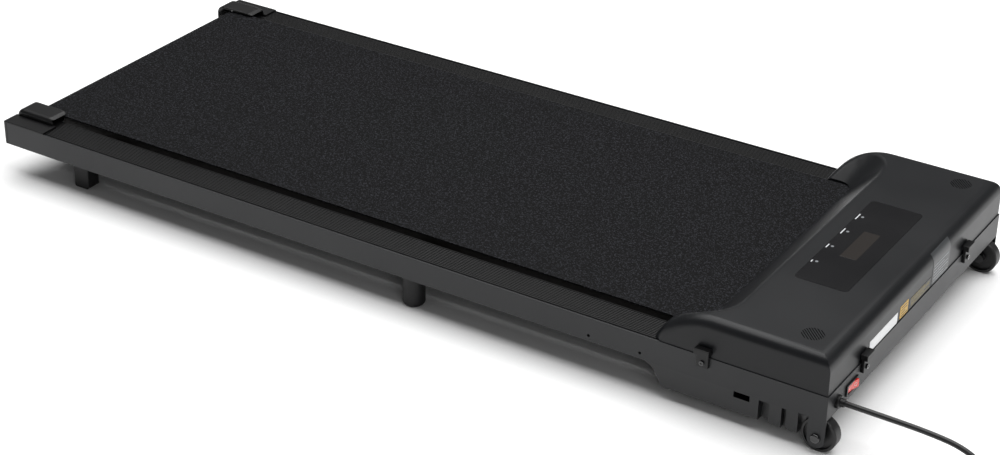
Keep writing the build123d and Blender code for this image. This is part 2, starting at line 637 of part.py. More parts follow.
def scoop_outline(lean_out):
    """Plan of the belt's way between the horns, with round corners."""
    corner = 22 + lean_out
    half = slot_wall + lean_out
    x0, x1 = horn_x - 120, hood_rear_x + lean_out
    bulge = corner * (1 - math.sqrt(0.5))
    with BuildLine() as outline:
        Polyline((x0, half), (x0, -half), (x1 - corner, -half))
        ThreePointArc((x1 - corner, -half), (x1 - bulge, -half + bulge), (x1, -half + corner))
        Line((x1, -half + corner), (x1, half - corner))
        ThreePointArc((x1, half - corner), (x1 - bulge, half - bulge), (x1 - corner, half))
        Line((x1 - corner, half), (x0, half))
    return outline.line


def scoop(grow):
    """The way that the belt takes between the horns: upright at its foot, then walls that lean outwards."""
    with BuildPart() as tool:
        with BuildSketch(Plane.XY.offset(rail_top - 1)):
            make_face(scoop_outline(grow))
        extrude(amount=slot_top - rail_top + 1)
        with BuildSketch(Plane.XY.offset(slot_top)):
            make_face(scoop_outline(grow))
        with BuildSketch(Plane.XY.offset(hood_top + 1)):
            make_face(scoop_outline((hood_top + 1 - slot_top) * slope + grow))
        loft()
    return tool.part


panel_x0, panel_x1 = front_x - 114, front_x - 47
panel_half = 110.0
panel_round = 6.0
panel_sheet = 0.8
panel_deep = 0.6
display_x0, display_x1 = front_x - 90, front_x - 69
display_y0, display_y1 = -37.0, 33.0
lamp_x = front_x - 106
lamp_ys = (-64.0, -21.5, 21.0, 63.5)
lamp_radius = 2.0
speaker_x = front_x - 41
speaker_y = side_y - 39
grille_radius = 13.0


def hood_shape(inset):
    """The hood's outer skin, or the same skin drawn in by inset, as one rounded block."""
    with BuildPart() as skin:
        with BuildSketch(Plane.XZ.offset(-(hood_side - inset))):
            make_face(hood_side_view(inset, 2 * hood_side_round))
        extrude(amount=2 * (hood_side - inset))
        rims = [edge for edge in skin.faces().filter_by(Axis.Y).edges()
                if edge.center().Z > rail_top + 1]
        fillet(ShapeList(edge for edge in rims if edge.center().X > horn_x + inset + 1), hood_side_round - inset)
        # the rounded sides run on past the front and are cut off by it, so the upright corners stay crisp
        with BuildSketch(Plane.XZ.offset(-side_y)):
            make_face(hood_side_view(inset))
        extrude(amount=2 * side_y, mode=Mode.INTERSECT)
        add(scoop(inset * math.hypot(1, slope)), mode=Mode.SUBTRACT)
        crest = [edge for edge in skin.edges()
                 if horn_x + 2 < edge.center().X < hood_rear_x + 60
                 and abs(edge.center().Y) < hood_side - inset - 0.5 and edge.center().Z > slot_top + 2]
        fillet(ShapeList(crest), hood_crest_round - inset / 2)
    return skin.part


with BuildPart() as hood:
    add(hood_shape(0))
    add(hood_shape(hood_wall), mode=Mode.SUBTRACT)
    block(hood_rear_x - 30, hood_rear_x + 12, -slot_wall, slot_wall, rail_top - 1, slot_top, Mode.SUBTRACT)
    # shallow seat for the control panel, with a window for the display and the lamps
    with BuildSketch(Plane.XY.offset(hood_top - panel_deep)):
        with Locations(((panel_x0 + panel_x1) / 2, 0)):
            RectangleRounded(panel_x1 - panel_x0, 2 * panel_half, panel_round)
    extrude(amount=panel_deep + 1, mode=Mode.SUBTRACT)
    block(display_x0, display_x1, display_y0, display_y1, hood_top - 5, hood_top, Mode.SUBTRACT)
    for lamp_y in lamp_ys:
        rod("z", hood_top - 5, hood_top, (lamp_x, lamp_y), lamp_radius, Mode.SUBTRACT)
    # slanted slots of the two round grilles
    for side, _ in SIDES:
        for slot in range(-4, 5):
            chord = math.sqrt(grille_radius ** 2 - (slot * grille_pitch) ** 2)
            place = Location((speaker_x + slot * grille_pitch * math.cos(math.radians(45)),
                              side * speaker_y + slot * grille_pitch * math.sin(math.radians(45)),
                              hood_top - hood_wall / 2), (0, 0, 45))
            with Locations(place):
                Box(grille_slot, 2 * chord, hood_wall + 2, mode=Mode.SUBTRACT)
save(hood, "hood")

# ---------------------------------------------------------------- panel, window and lamps
with BuildPart() as control_panel:
    with BuildSketch(Plane.XY.offset(hood_top - panel_deep)):
        with Locations(((panel_x0 + panel_x1) / 2, 0)):
            RectangleRounded(panel_x1 - panel_x0 - 0.4, 2 * panel_half - 0.4, panel_round - 0.2)
    extrude(amount=panel_sheet)
    block(display_x0, display_x1, display_y0, display_y1, hood_top - 2, hood_top + 2, Mode.SUBTRACT)
    for lamp_y in lamp_ys:
        rod("z", hood_top - 2, hood_top + 2, (lamp_x, lamp_y), lamp_radius, Mode.SUBTRACT)
save(control_panel, "control_panel")

panel_top = hood_top - panel_deep + panel_sheet
with BuildPart() as display_window:
    block(display_x0 + 0.1, display_x1 - 0.1, display_y0 + 0.1, display_y1 - 0.1, panel_top - 2.0, panel_top)
save(display_window, "display_window")

with BuildPart() as lamps:
    for lamp_y in lamp_ys:
        rod("z", panel_top - 3.0, panel_top + 0.1, (lamp_x, lamp_y), lamp_radius - run_gap)
save(lamps, "indicator_lenses")

board_top = hood_top - hood_wall - 4
with BuildPart() as display_board:
    block(lamp_x - 8, panel_x1 - 6, -82, 82, board_top - 1.6, board_top)
    block(display_x0 + 1, display_x1 - 1, display_y0 + 2, display_y1 - 2, board_top, panel_top - 2.2)
    for lamp_y in lamp_ys:
        rod("z", board_top, panel_top - 3.2, (lamp_x, lamp_y), lamp_radius - 0.3)
    for post_y in (-76, 76):
        rod("z", board_top, hood_top - hood_wall, (panel_x1 - 12, post_y), 3)
save(display_board, "display_board")

speaker_top = hood_top - hood_wall
with BuildPart() as speakers:
    for side, _ in SIDES:
        rod("z", speaker_top - 3, speaker_top, (speaker_x, side * speaker_y), 17)
        rod("z", speaker_top - 3, speaker_top, (speaker_x, side * speaker_y), 14, Mode.SUBTRACT)
        rod("z", speaker_top - 12, speaker_top - 3, (speaker_x, side * speaker_y), 17)
        rod("z", speaker_top - 19, speaker_top - 12, (speaker_x, side * speaker_y), 10)
save(speakers, "speakers")

# ---------------------------------------------------------------- hood clips and their screws
clip_top = clip_low + clip_height
lip_low = clip_top - clip_lip_height
with BuildPart() as hood_clips:
    for side, _ in SIDES:
        block(clip_side_x - clip_width / 2, clip_side_x + clip_width / 2, side * side_y,
              side * (side_y + clip_depth), clip_low, clip_top)
        block(clip_side_x - clip_lip_width / 2, clip_side_x + clip_lip_width / 2, side * (hood_side + touch_gap),
              side * (side_y + clip_lip_depth), lip_low, clip_top)
    for clip_y in clip_front_y:
        block(front_x, front_x + clip_depth, clip_y - clip_width / 2, clip_y + clip_width / 2, clip_low, clip_top)
        block(hood_face + touch_gap, front_x + clip_lip_depth, clip_y - clip_lip_width / 2,
              clip_y + clip_lip_width / 2, lip_low, clip_top)
    fillet(hood_clips.edges().filter_by(Axis.Z), 1.0)
    fillet(hood_clips.faces().group_by(Axis.Z)[-1].edges(), 0.9)
    for side, _ in SIDES:
        rod("y", side * side_y, side * (side_y + clip_depth), (clip_side_x, clip_screw_z),
            clip_screw_radius + run_gap, Mode.SUBTRACT)
    for clip_y in clip_front_y:
        rod("x", front_x, front_x + clip_depth, (clip_y, clip_screw_z), clip_screw_radius + run_gap, Mode.SUBTRACT)
save(hood_clips, "hood_clips")

clip_head = 1.8
clip_head_radius = 3.0
clip_cross = ((3.6, 0.8), (0.8, 3.6))
with BuildPart() as clip_screws:
    for side, _ in SIDES:
        head_y = side_y + clip_depth
        rod("y", side * (web_in - 5), side * head_y, (clip_side_x, clip_screw_z), clip_screw_radius)
        rod("y", side * head_y, side * (head_y + clip_head), (clip_side_x, clip_screw_z), clip_head_radius)
        for wide, tall in clip_cross:
            block(clip_side_x - wide / 2, clip_side_x + wide / 2, side * (head_y + 0.9),
                  side * (head_y + clip_head + 1), clip_screw_z - tall / 2, clip_screw_z + tall / 2, Mode.SUBTRACT)
    for clip_y in clip_front_y:
        head_x = front_x + clip_depth
        rod("x", front_x - rail_sheet - 5, head_x, (clip_y, clip_screw_z), clip_screw_radius)
        rod("x", head_x, head_x + clip_head, (clip_y, clip_screw_z), clip_head_radius)
        for wide, tall in clip_cross:
            block(head_x + 0.9, head_x + clip_head + 1, clip_y - wide / 2, clip_y + wide / 2,
                  clip_screw_z - tall / 2, clip_screw_z + tall / 2, Mode.SUBTRACT)
save(clip_screws, "clip_screws")

# ---------------------------------------------------------------- blank labels on the hood's front face
label_sheet = 0.25
label_places = (              # two limits across, two limits up
    (-side_y + 107, -side_y + 184, rail_top + 1, rail_top + 15),
    (-side_y + 191, -side_y + 214, rail_top + 2, rail_top + 18),
    (-side_y + 218, -side_y + 280, rail_top + 2, rail_top + 15),
    (-side_y + 284, -side_y + 335, rail_top + 1, rail_top + 42),
)
with BuildPart() as labels:
    for low_y, high_y, low_z, high_z in label_places:
        with BuildPart() as sheet:
            with BuildSketch(Plane.XZ.offset(-low_y)):
                make_face(hood_side_view(-label_sheet))
                make_face(hood_side_view(0), mode=Mode.SUBTRACT)
            extrude(amount=-(high_y - low_y))
            block(hood_face - 10, hood_face + 1, low_y, high_y, low_z, high_z, Mode.INTERSECT)
        add(sheet.part)
save(labels, "blank_labels")

# ---------------------------------------------------------------- belly pan
pan_x0, pan_x1 = front_x - 231, pan_front
pan_side = side_y - 2.5
pan_top = rail_bottom - touch_gap


def pan_side_view(inset, top):
    """Side view of the pan: an S-shaped rise at its rear and a flat bottom."""
    low = pan_bottom + inset
    with BuildLine() as outline:
        Line((pan_x0 + inset, top), (pan_x0 + inset, pan_top - 1))
        ThreePointArc((pan_x0 + inset, pan_top - 1), (pan_x0 + inset + 10, pan_top - 3.6),
                      (pan_x0 + inset + 17, pan_top - 9))
        Line((pan_x0 + inset + 17, pan_top - 9), (pan_x0 + inset + 25, pan_top - 23))
        ThreePointArc((pan_x0 + inset + 25, pan_top - 23), (pan_x0 + inset + 28, low + 2), (pan_x0 + 35, low))
        Line((pan_x0 + 35, low), (pan_x1 - inset, low))
        Line((pan_x1 - inset, low), (pan_x1 - inset, top))
        Line((pan_x1 - inset, top), (pan_x0 + inset, top))
    return outline.line


pan_side_wall = 13.0         # thicker beside the drive, where the outside is grooved
run_bottom = roller_z - roller_radius - belt_gap - belt_thickness
with BuildPart() as belly_pan:
    with BuildSketch(Plane.XZ.offset(-pan_side)):
        make_face(pan_side_view(0, pan_top))
    extrude(amount=2 * pan_side)
    bottom_rim = belly_pan.edges().filter_by(Axis.X).group_by(Axis.Z)[0]
    fillet(bottom_rim, 3.0)
    # hollow, narrower beside the drive where the side walls are grooved
    with BuildSketch(Plane.XZ.offset(-(pan_side - pan_wall))):
        make_face(pan_side_view(pan_wall, pan_top + 1))
    extrude(amount=2 * (pan_side - pan_wall), mode=Mode.SUBTRACT)
    for side, _ in SIDES:
        block(front_x - 86, pan_x1 - pan_wall, side * (pan_side - pan_side_wall), side * (pan_side - pan_wall),
              pan_bottom + 1, pan_top)
    for side, _ in SIDES:
        for groove_x, groove_width, groove_deep in ((-82, 13, 10.0), (-54, 5, 8.0), (-49, 15, 1.2)):
            block(front_x + groove_x, front_x + groove_x + groove_width, side * (pan_side - groove_deep),
                  side * (pan_side + 1), pan_bottom - 1, pan_top - 2.5, Mode.SUBTRACT)
        block(front_x - 113, front_x - 93, side * (pan_side - pan_wall - 4), side * (pan_side + 1),
              pan_top - 9.2, pan_top - 1.7, Mode.SUBTRACT)
    # way for the belt's lower run and its turn round the front roller
    block(pan_x0 - 1, front_roller_x + 30, -slot_wall - 1, slot_wall + 1, run_bottom - 4, pan_top + 1, Mode.SUBTRACT)
    for screw_x, screw_y in pan_screw_places:
        rod("z", pan_bottom, pan_bottom + pan_wall, (screw_x, screw_y), 2.1, Mode.SUBTRACT)
save(belly_pan, "belly_pan")

with BuildPart() as pan_screws:
    for screw_x, screw_y in pan_screw_places:
        rod("z", pan_bottom - 2, pan_bottom, (screw_x, screw_y), 3.8)
        rod("z", pan_bottom, bed_top, (screw_x, screw_y), 2.0)
        for wide, tall in ((4.4, 1.0), (1.0, 4.4)):
            block(screw_x - wide / 2, screw_x + wide / 2, screw_y - tall / 2, screw_y + tall / 2, pan_bottom - 3,
                  pan_bottom - 1, Mode.SUBTRACT)
save(pan_screws, "pan_screws")

# ---------------------------------------------------------------- mains switch
rocker_x = front_x - 3
rocker_tilt = 9.0
with BuildPart() as switch_housing:
    block(front_x, front_x + 2, switch_y - switch_length / 2, switch_y + switch_length / 2,
          switch_z - switch_height / 2, switch_z + switch_height / 2)
    fillet(switch_housing.edges().filter_by(Axis.X), 1.5)
    block(front_x - 18, front_x, switch_y - switch_cut_length / 2 + 0.1, switch_y + switch_cut_length / 2 - 0.1,
          switch_z - switch_cut_height / 2 + 0.1, switch_z + switch_cut_height / 2 - 0.1)
    block(front_x - 9, front_x + 3, switch_y - 12.6, switch_y + 12.6, switch_z - 5.2, switch_z + 5.2, Mode.SUBTRACT)
    for tab_y in (-8, 0, 8):
        block(front_x - 26, front_x - 18, switch_y + tab_y - 0.4, switch_y + tab_y + 0.4, switch_z - 2.4,
              switch_z + 2.4)
    rod("z", switch_z - 5.3, switch_z + 5.3, (rocker_x, switch_y), 1.2)
save(switch_housing, "switch_housing")

with BuildPart() as switch_rocker:
    with BuildSketch(Plane.XY.offset(switch_z - 5)):
        with Locations(Location((rocker_x, switch_y), -rocker_tilt)):
            Polygon((-3, -9.5), (5.6, -11.6), (4.2, 0), (5.6, 11.6), (-3, 9.5), align=None)
        with Locations((rocker_x, switch_y)):
            Circle(1.25, mode=Mode.SUBTRACT)
    extrude(amount=10.0)
save(switch_rocker, "switch_rocker")

# ---------------------------------------------------------------- cable gland
gland_end = front_x + 9
with BuildPart() as cable_gland:
    rod("x", front_x, front_x + 4, (gland_y, gland_z), 8)
    with Locations(Location(((front_x + 4 + gland_end) / 2, gland_y, gland_z), (0, 90, 0))):
        Cone(5.2, 4.4, gland_end - front_x - 4)
    rod("x", front_x - rail_sheet, front_x, (gland_y, gland_z), 6.15)
    with BuildSketch(Plane.YZ.offset(front_x - rail_sheet - 4)):
        with Locations((gland_y, gland_z)):
            RegularPolygon(8, 6)
    extrude(amount=4)
    fillet(cable_gland.faces().filter_by(Axis.X).sort_by(Axis.X)[-2].edges().sort_by(SortBy.LENGTH)[-1], 1.5)
    rod("x", front_x - 10, gland_end + 1, (gland_y, gland_z), cord_diameter / 2 + run_gap, Mode.SUBTRACT)
save(cable_gland, "cable_gland")

# ---------------------------------------------------------------- cord, its coil and the plug
cord_radius = cord_diameter / 2
coil_outer, coil_inner = 48.1, 28.9
coil_x = front_x + 233.5
coil_y = gland_y - coil_outer
coil_low, coil_high = cord_radius + 0.1, cord_radius + 7.1
tail_y = coil_y - coil_outer
plug_z = 18.6
cord_route = [
    (gland_end + touch_gap, gland_y, gland_z),
    (front_x + 58.5, gland_y, gland_z - 0.2),
    (front_x + 108.5, gland_y - 0.4, gland_z - 1),
    (front_x + 145.5, gland_y - 0.3, gland_z - 5.4),
    (front_x + 171.5, gland_y, gland_z - 20.4),
    (front_x + 191.5, gland_y + 0.2, 18.0),
    (front_x + 214.5, gland_y, 5.6),
    (coil_x, gland_y, coil_low),
]
tail_route = [
    (coil_x, tail_y, coil_high),
    (coil_x - 24, tail_y, coil_high + 0.9),
    (coil_x - 48, tail_y, plug_z - 1.1),
    (coil_x - 72, tail_y, plug_z),
]


def bend_radii(route):
    """Bend radius at each inner point, from the shorter run beside it and the angle turned."""
    radii = []
    for before, here, after in zip(route, route[1:], route[2:]):
        first = Vector(*here) - Vector(*before)
        second = Vector(*after) - Vector(*here)
        turn = math.radians(first.get_angle(second))
        radii.append(0.45 * min(first.length, second.length) / math.tan(turn / 2))
    return radii


with BuildPart() as power_cord:
    for route in (cord_route, tail_route):
        radii = bend_radii(route)
        print("cord bend radii", [round(radius) for radius in radii])
        with BuildLine() as way:
            FilletPolyline(*route, radius=radii)
        with BuildSketch(Plane(origin=way.line @ 0, z_dir=way.line % 0)):
            Circle(cord_radius)
        sweep(path=way.line)
        print("cord run", round(sum(edge.length for edge in way.edges()), 1))
print("cord volume over section", round(power_cord.part.volume / (math.pi * cord_radius ** 2), 1))
save(power_cord, "power_cord")

with BuildPart() as cord_coil:
    rod("z", 0.1, coil_high + cord_radius + 0.1, (coil_x, coil_y), coil_outer + cord_radius)
    rod("z", 0.1, coil_high + cord_radius + 0.1, (coil_x, coil_y), coil_inner - cord_radius, Mode.SUBTRACT)
    fillet(cord_coil.edges().filter_by(GeomType.CIRCLE), 3.0)
save(cord_coil, "cord_coil")

plug_x = coil_x - 72 - touch_gap
plug_face = plug_x - 55
with BuildPart() as plug_body:
    with Locations(Location((plug_x - 9, tail_y, plug_z), (0, 90, 0))):
        Cone(7.5, 4.6, 18)
    rod("x", plug_face + 9, plug_x - 18, (tail_y, plug_z), 14)
    rod("x", plug_face, plug_face + 9, (tail_y, plug_z), 18.5)
    fillet(plug_body.edges().filter_by(GeomType.CIRCLE).filter_by(
        lambda edge: edge.radius > 13.5 and edge.center().X > plug_face + 1), 1.5)
    for pin_y in (tail_y - 9.5, tail_y + 9.5):
        rod("x", plug_face, plug_face + 12, (pin_y, plug_z), 2.4, Mode.SUBTRACT)
save(plug_body, "plug_body")

with BuildPart() as plug_pins:
    for pin_y in (tail_y - 9.5, tail_y + 9.5):
        rod("x", plug_face - 19, plug_face + 12, (pin_y, plug_z), 2.4)
    fillet(plug_pins.edges().filter_by(GeomType.CIRCLE).group_by(Axis.X)[0], 1.6)
save(plug_pins, "plug_pins")

# ---------------------------------------------------------------- wheels and their bolts
wheel_bore = wheel_bolt_diameter / 2 + run_gap
wheel_inner = wheel_near - wheel_width
for side, name in SIDES:
    with BuildPart() as wheel:
        rod("y", side * wheel_inner, side * wheel_near, (wheel_x, wheel_z), wheel_radius)
        fillet(wheel.edges().filter_by(GeomType.CIRCLE), 1.5)
        for face_y, way_in in ((wheel_near, -1), (wheel_inner, 1)):
            low, high = sorted((side * face_y, side * (face_y + way_in * 3)))
            rod("y", low, high, (wheel_x, wheel_z), wheel_radius - 3.5, Mode.SUBTRACT)
            rod("y", low, high, (wheel_x, wheel_z), 7)
        rod("y", side * (wheel_inner - 1), side * (wheel_near + 1), (wheel_x, wheel_z), wheel_bore, Mode.SUBTRACT)
    save(wheel, f"{name}_wheel")

with BuildPart() as wheel_bolts:
    for side, _ in SIDES:
        rod("y", side * (wheel_inner - 5), side * side_y, (wheel_x, wheel_z), wheel_bolt_diameter / 2)
        rod("y", side * (wheel_near + touch_gap), side * web_in, (wheel_x, wheel_z), 6)
        rod("y", side * side_y, side * (side_y + 3.5), (wheel_x, wheel_z), 5.8)
        low, high = sorted((side * (wheel_inner - 5), side * (wheel_inner - touch_gap)))
        with BuildSketch(Plane.XZ.offset(-low)):
            with Locations((wheel_x, wheel_z)):
                RegularPolygon(6.5, 6)
        extrude(amount=-(high - low))
    fillet(wheel_bolts.edges().filter_by(GeomType.CIRCLE).filter_by(
        lambda edge: edge.radius > 5.7 and abs(edge.center().Y) > side_y + 3), 2.5)
save(wheel_bolts, "wheel_bolts")
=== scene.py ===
"""Looks of a flat walking treadmill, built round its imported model.

+X runs lengthwise towards the motor end, +Y across to the far side, +Z up, in metres. Z = 0 is the floor.
"""
import json
import math

import bmesh
import bpy
from bpy.props import FloatProperty, FloatVectorProperty, IntProperty, PointerProperty
from mathutils import Matrix, Vector

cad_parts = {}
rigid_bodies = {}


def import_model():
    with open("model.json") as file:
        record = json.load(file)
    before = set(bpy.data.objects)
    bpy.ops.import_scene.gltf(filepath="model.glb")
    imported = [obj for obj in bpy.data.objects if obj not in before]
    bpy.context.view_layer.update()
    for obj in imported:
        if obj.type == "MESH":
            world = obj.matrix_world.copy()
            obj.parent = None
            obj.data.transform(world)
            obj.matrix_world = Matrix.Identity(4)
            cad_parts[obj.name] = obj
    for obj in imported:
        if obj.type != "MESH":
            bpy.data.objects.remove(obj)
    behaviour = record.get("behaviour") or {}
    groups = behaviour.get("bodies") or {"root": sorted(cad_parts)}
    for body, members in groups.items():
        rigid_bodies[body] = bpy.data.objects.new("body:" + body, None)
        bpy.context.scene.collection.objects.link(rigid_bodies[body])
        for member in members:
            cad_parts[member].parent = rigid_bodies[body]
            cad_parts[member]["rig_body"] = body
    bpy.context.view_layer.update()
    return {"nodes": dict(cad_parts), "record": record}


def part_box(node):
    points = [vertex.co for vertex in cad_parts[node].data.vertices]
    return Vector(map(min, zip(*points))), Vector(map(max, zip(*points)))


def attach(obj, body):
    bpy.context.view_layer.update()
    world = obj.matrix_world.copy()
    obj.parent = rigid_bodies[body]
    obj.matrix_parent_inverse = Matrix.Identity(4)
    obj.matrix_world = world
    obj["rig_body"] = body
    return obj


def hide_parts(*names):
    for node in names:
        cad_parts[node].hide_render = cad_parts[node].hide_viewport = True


bl_info = {
    "name": "Walking Treadmill",
    "version": (1, 0, 0),
    "blender": (4, 5, 0),
    "location": "3D View > Sidebar > Treadmill",
    "description": "Finishes and fine shapes of a flat walking treadmill",
    "category": "Object",
}

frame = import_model()
MM = 0.001


# ---------------------------------------------------------------- colours and sizes
def linear(code):
    """A linear RGB triple from an sRGB hex code such as #2b2c2f."""
    parts = [int(code[i:i + 2], 16) / 255 for i in (1, 3, 5)]
    return tuple(p / 12.92 if p <= 0.04045 else ((p + 0.055) / 1.055) ** 2.4 for p in parts)


def colour_prop(name, description, code):
    """A colour property whose default is a hex code."""
    return FloatVectorProperty(name=name, description=description, default=linear(code), subtype="COLOR",
                               size=3, min=0.0, max=1.0)


class TreadmillColours(bpy.types.PropertyGroup):
    """Colours of the treadmill's finishes."""

    steel_coat: colour_prop("Steel coat", "Powder coat of the side rails and front plate", "#191a1c")
    inner_coat: colour_prop("Inner coat", "Powder coat of the crossmembers and brackets", "#161719")
    hood_shell: colour_prop("Hood", "Moulded hood", "#121315")
    pan_shell: colour_prop("Belly pan", "Moulded belly pan", "#141517")
    trim: colour_prop("Trim", "End caps, clips and gland", "#0c0c0d")
    strip: colour_prop("Foot strips", "Ribbed foot strips", "#0d0d0e")
    belt: colour_prop("Belt", "Running surface of the belt", "#050506")
    # the specks' lighter grey is partly the grains' own colour and partly painted glints on their tops
    belt_speck_glint: colour_prop("Belt specks", "Raised grains of the belt", "#2a2b2f")
    panel: colour_prop("Panel", "Control panel film", "#0c0c0e")
    window: colour_prop("Window", "Smoked display window", "#262321")
    rocker: colour_prop("Rocker", "Power switch rocker", "#d9200f")
    marks: colour_prop("Marks", "Printed marks of the panel", "#b9bbbe")
    label: colour_prop("Label", "White printed film", "#e6e7e8")
    caution: colour_prop("Yellow film", "Yellow printed film", "#c49a20")
    rubber: colour_prop("Rubber", "Feet and wheels", "#0d0d0e")
    cord: colour_prop("Cord", "Sheath of the mains cord", "#0b0b0c")


class TreadmillSizes(bpy.types.PropertyGroup):
    """Sizes of the fine shapes."""

    sheet_edge: FloatProperty(name="Sheet edge", description="Rounding of the coated sheet steel's edges",
                              default=0.5 * MM, min=0.0, unit="LENGTH")
    cord_radius: FloatProperty(name="Cord radius", description="Half the thickness of the mains cord",
                               default=3.25 * MM, min=0.001, unit="LENGTH")
    coil_outer: FloatProperty(name="Coil outer radius", description="Centre line of the coil's widest turn",
                              default=48.1 * MM, unit="LENGTH")
    coil_inner: FloatProperty(name="Coil inner radius", description="Centre line of the coil's tightest turn",
                              default=28.9 * MM, unit="LENGTH")
    coil_turns: FloatProperty(name="Turns a layer", description="Turns in each of the coil's two layers",
                              default=2.75, min=1.0)
    points_a_turn: IntProperty(name="Points a turn", description="Control points in each turn of the coil",
                               default=20, min=12)


class TreadmillStage(bpy.types.PropertyGroup):
    """Camera, floor and light."""

    place: FloatVectorProperty(name="Camera place", description="Where the camera stands",
                               default=(1.3345, -2.0970, 1.3577), subtype="TRANSLATION", unit="LENGTH")
    yaw: FloatProperty(name="Yaw", description="Turn of the view from straight across the machine",
                       default=math.radians(32.072), unit="ROTATION")
    pitch: FloatProperty(name="Pitch", description="How far the view looks down",
                         default=math.radians(28.845), unit="ROTATION")
    roll: FloatProperty(name="Roll", description="Tilt of the view about its own axis",
                        default=math.radians(0.902), unit="ROTATION")
    lens: FloatProperty(name="Lens", description="Focal length for a 36 mm wide sensor in millimetres",
                        default=78.26, min=10.0)
    floor: colour_prop("Floor", "Plain pale floor", "#f4f4f4")
    sky: FloatProperty(name="Room light", description="Strength of the even light from all round",
                       default=0.15, min=0.0)


# ---------------------------------------------------------------- materials
NOISE_LOW, NOISE_HIGH = 0.3, 0.7    # most of a noise's values lie between these
BROAD_SCALE = 9.0                   # changes of sheen about 11 cm apart
SHEEN_SPREAD = 0.04                 # how far the roughness strays to either side


def add_node(tree, kind, settings=None, links=None):
    """A new node, with its sockets or own settings given by name, and what is linked into it."""
    new = tree.nodes.new(kind)
    for key, value in (settings or {}).items():
        if isinstance(key, int) or key in new.inputs:
            new.inputs[key].default_value = value
        else:
            setattr(new, key, value)
    for key, source in (links or {}).items():
        tree.links.new(source, new.inputs[key])
    return new


def shader(name, settings):
    """A new material with its tree, its principled shader and its object coordinates."""
    material = bpy.data.materials.new(name)
    material.use_nodes = True
    tree = material.node_tree
    principled = tree.nodes["Principled BSDF"]
    for key, value in settings.items():
        principled.inputs[key].default_value = value
    place = add_node(tree, "ShaderNodeTexCoord")
    return material, tree, principled, place.outputs["Object"]


def tones(tree, colour, spread, source):
    """The colour a little darker and lighter, by a pattern's value."""
    ramp = add_node(tree, "ShaderNodeValToRGB", None, {"Fac": source})
    ends = ((NOISE_LOW, 1 - spread), (NOISE_HIGH, 1 + spread))
    for element, (place, share) in zip(ramp.color_ramp.elements, ends):
        element.position = place
        element.color = (*[min(1.0, c * share) for c in colour], 1)
    return ramp.outputs["Color"]


def textured(name, colour, roughness, grain, height, spread=0.12, settings=None):
    """A finish with a fine even grain, its size and height in metres, and slow changes of sheen."""
    material, tree, principled, place = shader(name, {"Roughness": roughness, **(settings or {})})
    fine = add_node(tree, "ShaderNodeTexNoise", {"Scale": 1 / grain, "Detail": 2.0, "Roughness": 0.6},
                    {"Vector": place})
    broad = add_node(tree, "ShaderNodeTexNoise", {"Scale": BROAD_SCALE, "Detail": 3.0}, {"Vector": place})
    tree.links.new(tones(tree, colour, spread, fine.outputs["Fac"]), principled.inputs["Base Color"])
    sheen = add_node(tree, "ShaderNodeMapRange",
                     {"From Min": NOISE_LOW, "From Max": NOISE_HIGH,
                      "To Min": roughness - SHEEN_SPREAD, "To Max": roughness + SHEEN_SPREAD},
                     {"Value": broad.outputs["Fac"]})
    tree.links.new(sheen.outputs["Result"], principled.inputs["Roughness"])
    relief = add_node(tree, "ShaderNodeBump", {"Strength": 1.0, "Distance": height},
                      {"Height": fine.outputs["Fac"]})
    tree.links.new(relief.outputs["Normal"], principled.inputs["Normal"])
    return material


def printed_film(name, colour, spread, roughness=0.4):
    """A smooth printed polyester film."""
    return textured(name, colour, roughness, 1.5 * MM, 0.002 * MM, spread)


def printed_ink(name, colour, spread=0.05):
    """A flat matt ink without relief."""
    return textured(name, colour, 0.5, 0.6 * MM, 0.0, spread)


def sandy_belt(name, dark, speck_glint):
    """PVC belt embossed with a sand-like grain: dead matt, with small raised grains whose tops are painted a
    lighter grey, partly the grit's own colour and partly painted glints.
    """
    # the real grains are about 0.8 mm apart, drawn wider so that they show
    grain_gap, fleck_gap = 2.0 * MM, 3.5 * MM
    grain_share = -0.55                       # how the grains' distances are mixed into the flecks
    dark_below, speck_glint_above = 0.24, 0.44      # where the mix turns from the ground to the specks
    relief_height = 0.5 * MM
    material, tree, principled, place = shader(name, {"Roughness": 0.66, "Specular IOR Level": 0.09})
    grains = add_node(tree, "ShaderNodeTexVoronoi", {"Scale": 1 / grain_gap, "Randomness": 1.0},
                      {"Vector": place})
    drift = add_node(tree, "ShaderNodeTexNoise", {"Scale": 1 / fleck_gap, "Detail": 4.0, "Roughness": 0.75},
                     {"Vector": place})
    both = add_node(tree, "ShaderNodeMath", {"operation": "MULTIPLY_ADD", 1: grain_share},
                    {0: grains.outputs["Distance"], 2: drift.outputs["Fac"]})
    ramp = add_node(tree, "ShaderNodeValToRGB", None, {"Fac": both.outputs["Value"]})
    # the highest grains take the lighter speck colour: partly their own, partly painted glints
    low, high = ramp.color_ramp.elements
    low.position, low.color = dark_below, (*dark, 1)
    high.position, high.color = speck_glint_above, (*speck_glint, 1)
    tree.links.new(ramp.outputs["Color"], principled.inputs["Base Color"])
    relief = add_node(tree, "ShaderNodeBump", {"Strength": 1.0, "Distance": relief_height},
                      {"Height": both.outputs["Value"]})
    tree.links.new(relief.outputs["Normal"], principled.inputs["Normal"])
    return material


def drawn_metal(name, colour, roughness, along):
    """Turned, drawn or plated metal, with fine lines round or along it."""
    line_gap, line_depth = 0.8 * MM, 0.02 * MM
    material, tree, principled, place = shader(name, {"Roughness": roughness, "Metallic": 1.0})
    stretch = add_node(tree, "ShaderNodeMapping", {"Scale": along}, {"Vector": place})
    lines = add_node(tree, "ShaderNodeTexNoise", {"Scale": 1 / line_gap, "Detail": 2.0},
                     {"Vector": stretch.outputs["Vector"]})
    tree.links.new(tones(tree, colour, 0.12, lines.outputs["Fac"]), principled.inputs["Base Color"])
    relief = add_node(tree, "ShaderNodeBump", {"Strength": 0.5, "Distance": line_depth},
                      {"Height": lines.outputs["Fac"]})
    tree.links.new(relief.outputs["Normal"], principled.inputs["Normal"])
    return material


